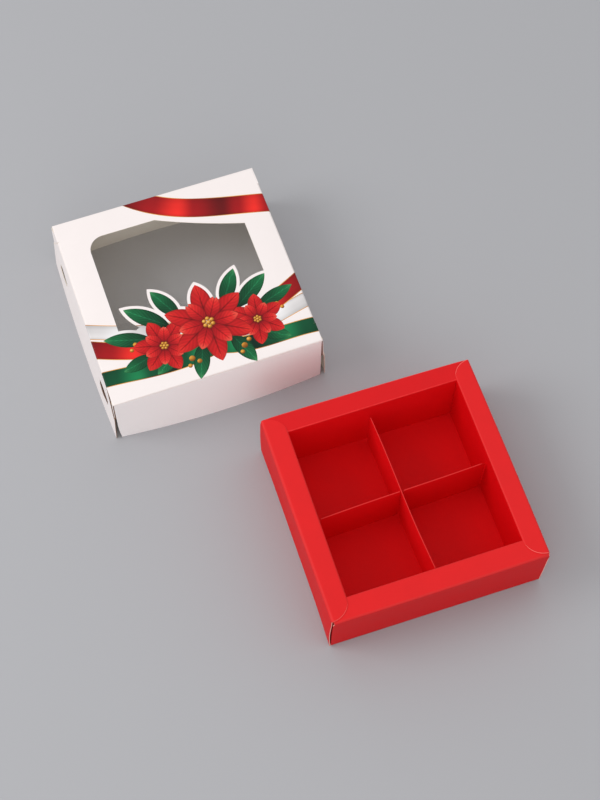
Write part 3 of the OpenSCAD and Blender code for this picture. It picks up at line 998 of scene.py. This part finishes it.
def bordered(x, y, direction, length, width, foot=0.0):
    """A leaf grown by the white border: where its two arcs meet, and the test."""
    shape = leaf_shape(x, y, direction, length, width, None, foot)
    ca, sa = math.cos(math.radians(direction)), math.sin(math.radians(direction))
    length -= foot
    x, y = x + foot * ca, y + foot * sa
    r = (length ** 2 + width ** 2) / (4 * width)
    lift = r - width / 2
    reach = math.sqrt((r + border) ** 2 - lift ** 2)
    rim = []
    for side in (1, -1):
        start = math.degrees(math.atan2(side * lift, -reach))
        end = math.degrees(math.atan2(side * lift, reach))
        part = arc(length / 2, -side * lift, r + border, start, end)
        rim += part[:-1] if side > 0 else part[::-1][:-1]

    def covers(px, py):
        a, b = (px - x) * ca + (py - y) * sa, -(px - x) * sa + (py - y) * ca
        return all(math.hypot(a - length / 2, b + side * lift) < r + border for side in (1, -1))

    return [(x + a * ca - b * sa, y + a * sa + b * ca) for a, b in rim], covers


halos = [bordered(*leaf) for leaf in upper_leaves]
halos += [bordered(x, y, first + i * 360 / petals, length, width, petal_foot)
          for x, y, petals, length, width, first in flowers for i in range(petals)]
halos += [(arc(x, y, r, 0, 360)[:-1], lambda px, py, x=x, y=y, r=r: math.hypot(px - x, py - y) < r)
          for x, y, r in grounds]
window_x = window_w / 2
front_inset = window_front_r
window_frame = arc(-window_x + window_corner_r, window_back - window_corner_r, window_corner_r, 180, 90)
start = math.degrees(math.atan2(*(ribbon_edge_back - edge_middle).yx))
end = math.degrees(math.atan2(*(ribbon_edge_side - edge_middle).yx))
window_frame += arc(edge_middle.x, edge_middle.y, edge_r, start, end, 1.5)
window_frame += arc(window_x - front_inset, -window_front + front_inset, front_inset, 0, -90)
window_frame += arc(-window_x + front_inset, -window_front + front_inset, front_inset, -90, -180)


def in_frame(x, y):
    """Inside the window's plain frame, before the leaves and flowers cover it."""
    if not (abs(x) < window_x and -window_front < y < window_back):
        return False
    corners = (
        (-1, window_back, -1, window_corner_r), (1, -window_front, 1, window_front_r),
        (-1, -window_front, 1, window_front_r)
    )
    for side, edge, inwards, r in corners:
        mx, my = side * (window_x - r), edge + inwards * r
        if side * (x - mx) > 0 and (y - my) * inwards < 0 and math.hypot(x - mx, y - my) > r:
            return False
    return math.hypot(x - edge_middle.x, y - edge_middle.y) > edge_r


def in_window(x, y):
    return in_frame(x, y) and not any(covers(x, y) for _, covers in halos)


slit = 0.15


def on_lid_top(x, y):
    if in_window(x, y):
        return False
    if abs(x) > fold_flat:
        if abs(y) < side_fold_half:
            return True
        return abs(x) < lid_half and side_fold_half + slit < abs(y) < lid_half
    return abs(y) < fold_flat or abs(x) < lid_between and abs(y) < fold_end


lid_face = card_face("lid white coating", srgb(242, 233, 231), srgb(218, 206, 198), 0.42, 0.012, 0.2)
lid_inside = card_face("lid inside board", srgb(252, 244, 232), srgb(220, 208, 194), 0.75, 0.03, 0.5, 0.25)
lid_raw = raw_edge("lid card edge", srgb(240, 230, 214), srgb(212, 198, 180))
# Cut edges on the front half of the left wall: dark brown painted as shade in the slot and the gap at the corner.
lid_shaded_raw = raw_edge("shaded card edge of the lid", srgb(150, 116, 94), srgb(108, 80, 64))
# Front wall: a copy of the white coating painted lighter, as light falling on it.
lid_front_painted_light = card_face("lid front white coating, painted light", srgb(253, 249, 248), srgb(228, 218, 212), 0.42, 0.012, 0.2)
lid_skins = (lid_face, lid_inside, lid_raw)
lit_front_wall_skins = (lid_front_painted_light, lid_inside, lid_raw)
left_wall_painted_shade = {"ink": lid_shaded_raw, "covers": lambda x, y: y < 0}
folds = [fold_flat + q for q in steps(0, quarter, 0.25)]
top_lines = []
for f in folds:
    top_lines += [((side * f, -side_fold_half), (side * f, side_fold_half)) for side in (-1, 1)]
    top_lines += [((-lid_between, side * f), (lid_between, side * f)) for side in (-1, 1)]
for side in (-1, 1):
    top_lines.append(((side * lid_half, -lid_half), (side * lid_half, lid_half)))
    for end in (-1, 1):
        for y in (side_fold_half, side_fold_half + slit, lid_half):
            top_lines.append(((side * fold_flat, end * y), (side * lid_half, end * y)))
        for y in (fold_flat, fold_end):
            top_lines.append(((side * fold_flat, end * y), (side * lid_between, end * y)))
        top_lines.append(((side * lid_between, end * fold_flat), (side * lid_between, end * fold_end)))
top_lines += grid(steps(-fold_flat, fold_flat, 10), steps(-fold_flat, fold_flat, 10))
whole = rectangle(-fold_end, -fold_end, fold_end, fold_end)


def within_blank(loop, edge):
    """The loop cut back to where the blank is, so that no outline runs past its edge."""
    return [(max(-edge, min(edge, x)), max(-edge, min(edge, y))) for x, y in loop]


print_loops = [within_blank(loop, fold_end) for shape in prints for loop in shape["loops"]]
lid_top = card_sheet(
    "lid_top_card", [whole, window_frame] + [rim for rim, _ in halos] + print_loops, top_lines,
    on_lid_top, on_lid, lid_skins, printed=prints
)
hand_over(lid_top, "lid", "lid_printed_card", "lid_top")

# Lid walls: they hang from the creases. The side walls have two slots each for the tongues
# of the corner flaps, whose lower lip the tongue pushes out, and their upper ends are cut back.
# The front and back walls are trimmed at the foot, and their free ends curl inwards a little.
wall_end = fold_end + lid_h - crease_r
end_trims = {"left": 0.95, "right": 0.15}


def along_at(z):
    """Place on the flat blank of a wall at height z."""
    return wall_end - z


def side_wall_reach(along):
    """A side wall is full below the lock, and cut back above it."""
    z = wall_end - along
    half = lid_half - max(0, relief_l * (z - lock_z) / (lid_h - crease_r - lock_z))
    return -half, half


def end_wall_reach(along):
    low = max(0, 1 - (wall_end - along) / lock_z) ** 3
    return end_trims["left"] * low - lid_between, lid_between - end_trims["right"] * low


def lid_wall(name, node, turned, side, reach, ats, alongs, slots, skins=lid_skins, wear_and_painted_light=None):
    """One hanging wall. turned says that its blank lies along Y, at the left or right."""
    outline = [(reach(a)[0], a) for a in alongs] + [(reach(a)[1], a) for a in reversed(alongs)]
    holes = [rectangle(x0, along_at(slot_high), x1, along_at(slot_low)) for x0, x1 in slots]

    def kept(at, along):
        for x0, x1 in slots:
            if x0 < at < x1 and along_at(slot_high) < along < along_at(slot_low):
                return False
        low, high = reach(along)
        return fold_end < along < wall_end and low < at < high

    def spread(at, along):
        return (side * along, at) if turned else (at, side * along)

    loops = [[spread(*p) for p in outline]] + [[spread(*p) for p in hole] for hole in holes]
    lines = [(spread(*a), spread(*b)) for a, b in grid(ats, alongs)]
    piece = card_sheet(
        name, loops, lines, lambda x, y: kept(y, side * x) if turned else kept(x, side * y),
        on_lid, skins, wear_and_painted_light=wear_and_painted_light
    )
    hand_over(piece, "lid", "lid_printed_card", node)


slot_spans = [(-slot_at - lock_slot_l / 2, -slot_at + 5.6), (slot_at - 7.9, slot_at + 4.1)]
near_slot = [end * slot_at + step for end in (-1, 1) for step in steps(-lip_half, lip_half, 1.5)]
side_ats = sorted(near_slot + steps(-lid_half, -slot_at - lip_half, 3) + steps(slot_at - lip_half, lip_half - slot_at, 4)
                  + steps(slot_at + lip_half, lid_half, 3))
side_drops = sorted(
    steps(fold_end, along_at(slot_high + 5), 2.5) + steps(along_at(slot_high + 4), along_at(slot_high), 1)
    + steps(along_at(slot_low), along_at(slot_low - 4), 1) + steps(along_at(slot_low - 5), wall_end, 2.5)
)
end_ats = [-lid_between + step for step in (0, 0.2, 0.4, 0.6, end_curl, 2)]
end_ats += steps(-lid_between + 4, lid_between - 4, 4) + [-a for a in reversed(end_ats)]
end_drops = steps(fold_end, fold_end + 4, 1) + steps(fold_end + 4, wall_end, 2.5)[1:]
# The left wall's cut edges on its front half are painted dark as shade.
lid_wall(
    "lid_left_wall_card", "lid_left_wall", True, -1, side_wall_reach, side_ats, side_drops, slot_spans,
    wear_and_painted_light=left_wall_painted_shade
)
lid_wall("lid_right_wall_card", "lid_right_wall", True, 1, side_wall_reach, side_ats, side_drops, slot_spans)
lid_wall(
    "lid_front_wall_card", "lid_front_wall", False, -1, end_wall_reach, end_ats, end_drops, (), lit_front_wall_skins
)
lid_wall("lid_back_wall_card", "lid_back_wall", False, 1, end_wall_reach, end_ats, end_drops, ())

# Lock flaps: the ends of the front and back walls, folded back behind the side walls. Each
# bulges out at its fold, where the side wall is cut back, and lies flat further along. Its
# tongue is bent up from the lower edge and goes out through the slot of the side wall.
flap_top = lid_h - board - 0.1
flap_start = (51.45, 51.95)
flap_fold_r = 0.7
flap_fold = flap_fold_r * math.pi / 2
flap_run = 1.0
flap_flat_x = 52.13
flap_bulges = {(-1, -1): (52.95, 52.9, 2.2), (1, -1): (53.0, 53.9, 2.2), (-1, 1): (53.1, 53.4, 4), (1, 1): (52.65, 53.6, 4)}
flap_l = flap_run + flap_fold + 24.8
tongue_bend_r = 0.25
tongue_hangs = math.radians(60)
tongue_turn = math.pi / 2 - tongue_hangs
tongue_bend = tongue_bend_r * tongue_turn
tongue_half = 6.5
tongue_end_half = 5.5
tongue_l = 2.9
tongue_middle = flap_run + flap_fold + flap_start[1] - flap_fold_r - slot_at
flap_h = flap_top - lock_z
# Along each flap's fold and over its whole tongue the card is painted dark brown as shade, for the shaded slit at
# the corner and in the slot.
fold_shade_gap = 0.15
fold_shade_widths = {-1: (0.15, 0.4), 1: (0.35, 0.9)}
fold_shade_raw = raw_edge("shaded fold of the lid", srgb(140, 104, 84), srgb(96, 68, 54))


def fold_out(bulges, drop):
    """How far to the side the flap's fold stands at a place down the flap."""
    return bulges[0] + (bulges[1] - bulges[0]) * math.sqrt(min(drop / flap_h, 1))


def flap_section(bulges, along, drop):
    """The flap's outer face in plan, from the corner: how far to the side, to the end, and its turn."""
    fold_x = fold_out(bulges, drop)
    start_x, start_y = flap_start
    if along < flap_run:
        return start_x + (fold_x - flap_fold_r - start_x) * along / flap_run, start_y, 0.0
    if along < flap_run + flap_fold:
        turn = (along - flap_run) / flap_fold_r
        return (fold_x - flap_fold_r * (1 - math.sin(turn)), start_y - flap_fold_r * (1 - math.cos(turn)), turn)
    past = along - flap_run - flap_fold
    x = flap_flat_x + (fold_x - flap_flat_x) * math.exp(-(past / bulges[2]) ** 2)
    return x, start_y - flap_fold_r - past, math.pi / 2


def fold_shade_end(bulges, widths, drop):
    """How far along the flap the painted shade reaches, past the free end of the wall."""
    out = lid_between + fold_shade_gap + fold_out(widths, drop)
    bend_x = fold_out(bulges, drop) - flap_fold_r
    if out < bend_x:
        return flap_run * (out - flap_start[0]) / (bend_x - flap_start[0])
    return flap_run + flap_fold_r * math.asin(min((out - bend_x) / flap_fold_r, 1))


def shaded_fold(bulges, widths):
    """The strip along the fold and the whole tongue, painted dark brown as shade."""
    rim = [(fold_shade_end(bulges, widths, drop), drop) for drop in steps(0, flap_h, 3)]
    return {
        "ink": fold_shade_raw, "loops": [[(0, 0)] + rim + [(0, flap_h)]],
        "covers": lambda along, drop: drop > flap_h or along < fold_shade_end(bulges, widths, drop),
        "uv": lambda along, drop: (along / 100, drop / 100)
    }


def flap_place(side, end):
    def place(along, drop):
        x, y, turn = flap_section(flap_bulges[side, end], along, drop)
        z = flap_top - drop
        normal = Vector((math.sin(turn), math.cos(turn), 0))
        if drop > flap_h:
            bent = min((drop - flap_h) / tongue_bend_r, tongue_turn)
            past = drop - flap_h - bent * tongue_bend_r
            x += tongue_bend_r * (1 - math.cos(bent)) + past * math.sin(bent)
            z = lock_z - tongue_bend_r * math.sin(bent) - past * math.cos(bent)
            normal = Vector((math.cos(bent), 0, math.sin(bent)))
        point = Vector((side * x, end * y, z))
        normal = Vector((side * normal.x, end * normal.y, normal.z))
        return lid_place @ point + lid_middle, lid_place @ normal, 0.0

    return place


def on_flap(along, drop):
    if drop < flap_h:
        return 0 < along < flap_l
    share = (drop - flap_h) / (tongue_bend + tongue_l)
    half = tongue_half + (tongue_end_half - tongue_half) * share
    return share < 1 and abs(along - tongue_middle) < half


tongue_edge = flap_h + tongue_bend + tongue_l
flap_outline = [
    (0, 0), (flap_l, 0), (flap_l, flap_h), (tongue_middle + tongue_half, flap_h),
    (tongue_middle + tongue_end_half, tongue_edge), (tongue_middle - tongue_end_half, tongue_edge),
    (tongue_middle - tongue_half, flap_h), (0, flap_h)
]
flap_alongs = steps(0, flap_run, 0.35) + steps(flap_run, flap_run + flap_fold, 0.16)[1:] + \
    steps(flap_run + flap_fold, flap_l, 1.2)[1:]
flap_drops = steps(0, flap_h, 3) + steps(flap_h, flap_h + tongue_bend, 0.07)[1:] + \
    steps(flap_h + tongue_bend, tongue_edge, 0.8)[1:]
for side, side_word in ((-1, "left"), (1, "right")):
    for end, end_word in ((-1, "front"), (1, "back")):
        node = f"lid_{end_word}_{side_word}_lock_flap"
        fold_shade = shaded_fold(flap_bulges[side, end], fold_shade_widths[side])
        flap = card_sheet(
            node + "_card", [flap_outline] + fold_shade["loops"], grid(flap_alongs, flap_drops), on_flap,
            flap_place(side, end), lid_skins, printed=[fold_shade]
        )
        hand_over(flap, "lid", "lid_inside_card", node)

# Window film: a sheet of clear film, glued to the inside of the lid round the window. Its faint warm veil is
# painted light, standing in for warm light bounced inside the lid.
film_material, film_shader, film_add, film_join = new_material("clear film")
film_shader.inputs["Base Color"].default_value = srgb(236, 214, 190)
film_shader.inputs["Roughness"].default_value = 0.06
film_shader.inputs["Alpha"].default_value = 0.035
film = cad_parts["lid_window_film"]
film.data.materials.clear()
film.data.materials.append(film_material)

# Table: a plain pale surface, larger than the view, and soft studio light from the left.
floor_mesh = bpy.data.meshes.new("table surface")
floor_half = 3.0
floor_mesh.from_pydata([(-floor_half, -floor_half, 0), (floor_half, -floor_half, 0),
                        (floor_half, floor_half, 0), (-floor_half, floor_half, 0)], [], [(0, 1, 2, 3)])
table = bpy.data.objects.new("table_surface", floor_mesh)
bpy.context.scene.collection.objects.link(table)
table_material, table_shader, _, _ = new_material("pale table")
table_shader.inputs["Base Color"].default_value = srgb(172, 172.5, 176)
table_shader.inputs["Roughness"].default_value = 0.9
table_shader.inputs["Specular IOR Level"].default_value = 0.1
floor_mesh.materials.append(table_material)

world = bpy.data.worlds.new("studio")
world.use_nodes = True
world.node_tree.nodes["Background"].inputs["Color"].default_value = (1, 1, 1, 1)
world.node_tree.nodes["Background"].inputs["Strength"].default_value = 0.82
bpy.context.scene.world = world


def soft_lamp(name, place, target, size, power):
    data = bpy.data.lights.new(name, "AREA")
    data.shape = "DISK"
    data.size = size
    data.energy = power
    lamp = bpy.data.objects.new(name, data)
    lamp.location = place
    lamp.rotation_euler = (Vector(target) - Vector(place)).to_track_quat("-Z", "Y").to_euler()
    bpy.context.scene.collection.objects.link(lamp)


middle = (-0.03, 0.06, 0)
soft_lamp("window light", (-1.1, 0.3, 0.9), middle, 0.8, 6.8)
soft_lamp("front fill light", (-0.59, -1.07, 0.63), middle, 1.2, 2.5)

# Camera: above the front right of the tray, at the photograph's angle.
turn_round = math.radians(-19.43)
tilt = math.radians(64.28)
roll = math.radians(1.13)
focal_px = 1639.81
image_h = 800
back = Vector((math.sin(turn_round) * math.cos(tilt), -math.cos(turn_round) * math.cos(tilt), math.sin(tilt)))
right = Vector((math.cos(turn_round), math.sin(turn_round), 0))
up = back.cross(right)
right_rolled = right * math.cos(roll) + up * math.sin(roll)
up_rolled = up * math.cos(roll) - right * math.sin(roll)
camera_data = bpy.data.cameras.new("camera")
camera_data.sensor_width = 36
camera_data.lens = focal_px / image_h * camera_data.sensor_width
camera = bpy.data.objects.new("camera", camera_data)
bpy.context.scene.collection.objects.link(camera)
camera.matrix_world = Matrix.Translation((-0.1433, -0.26094, 0.73388)) @ \
    Matrix((right_rolled, up_rolled, back)).transposed().to_4x4()
bpy.context.scene.camera = camera
bpy.context.scene.view_settings.view_transform = "Standard"
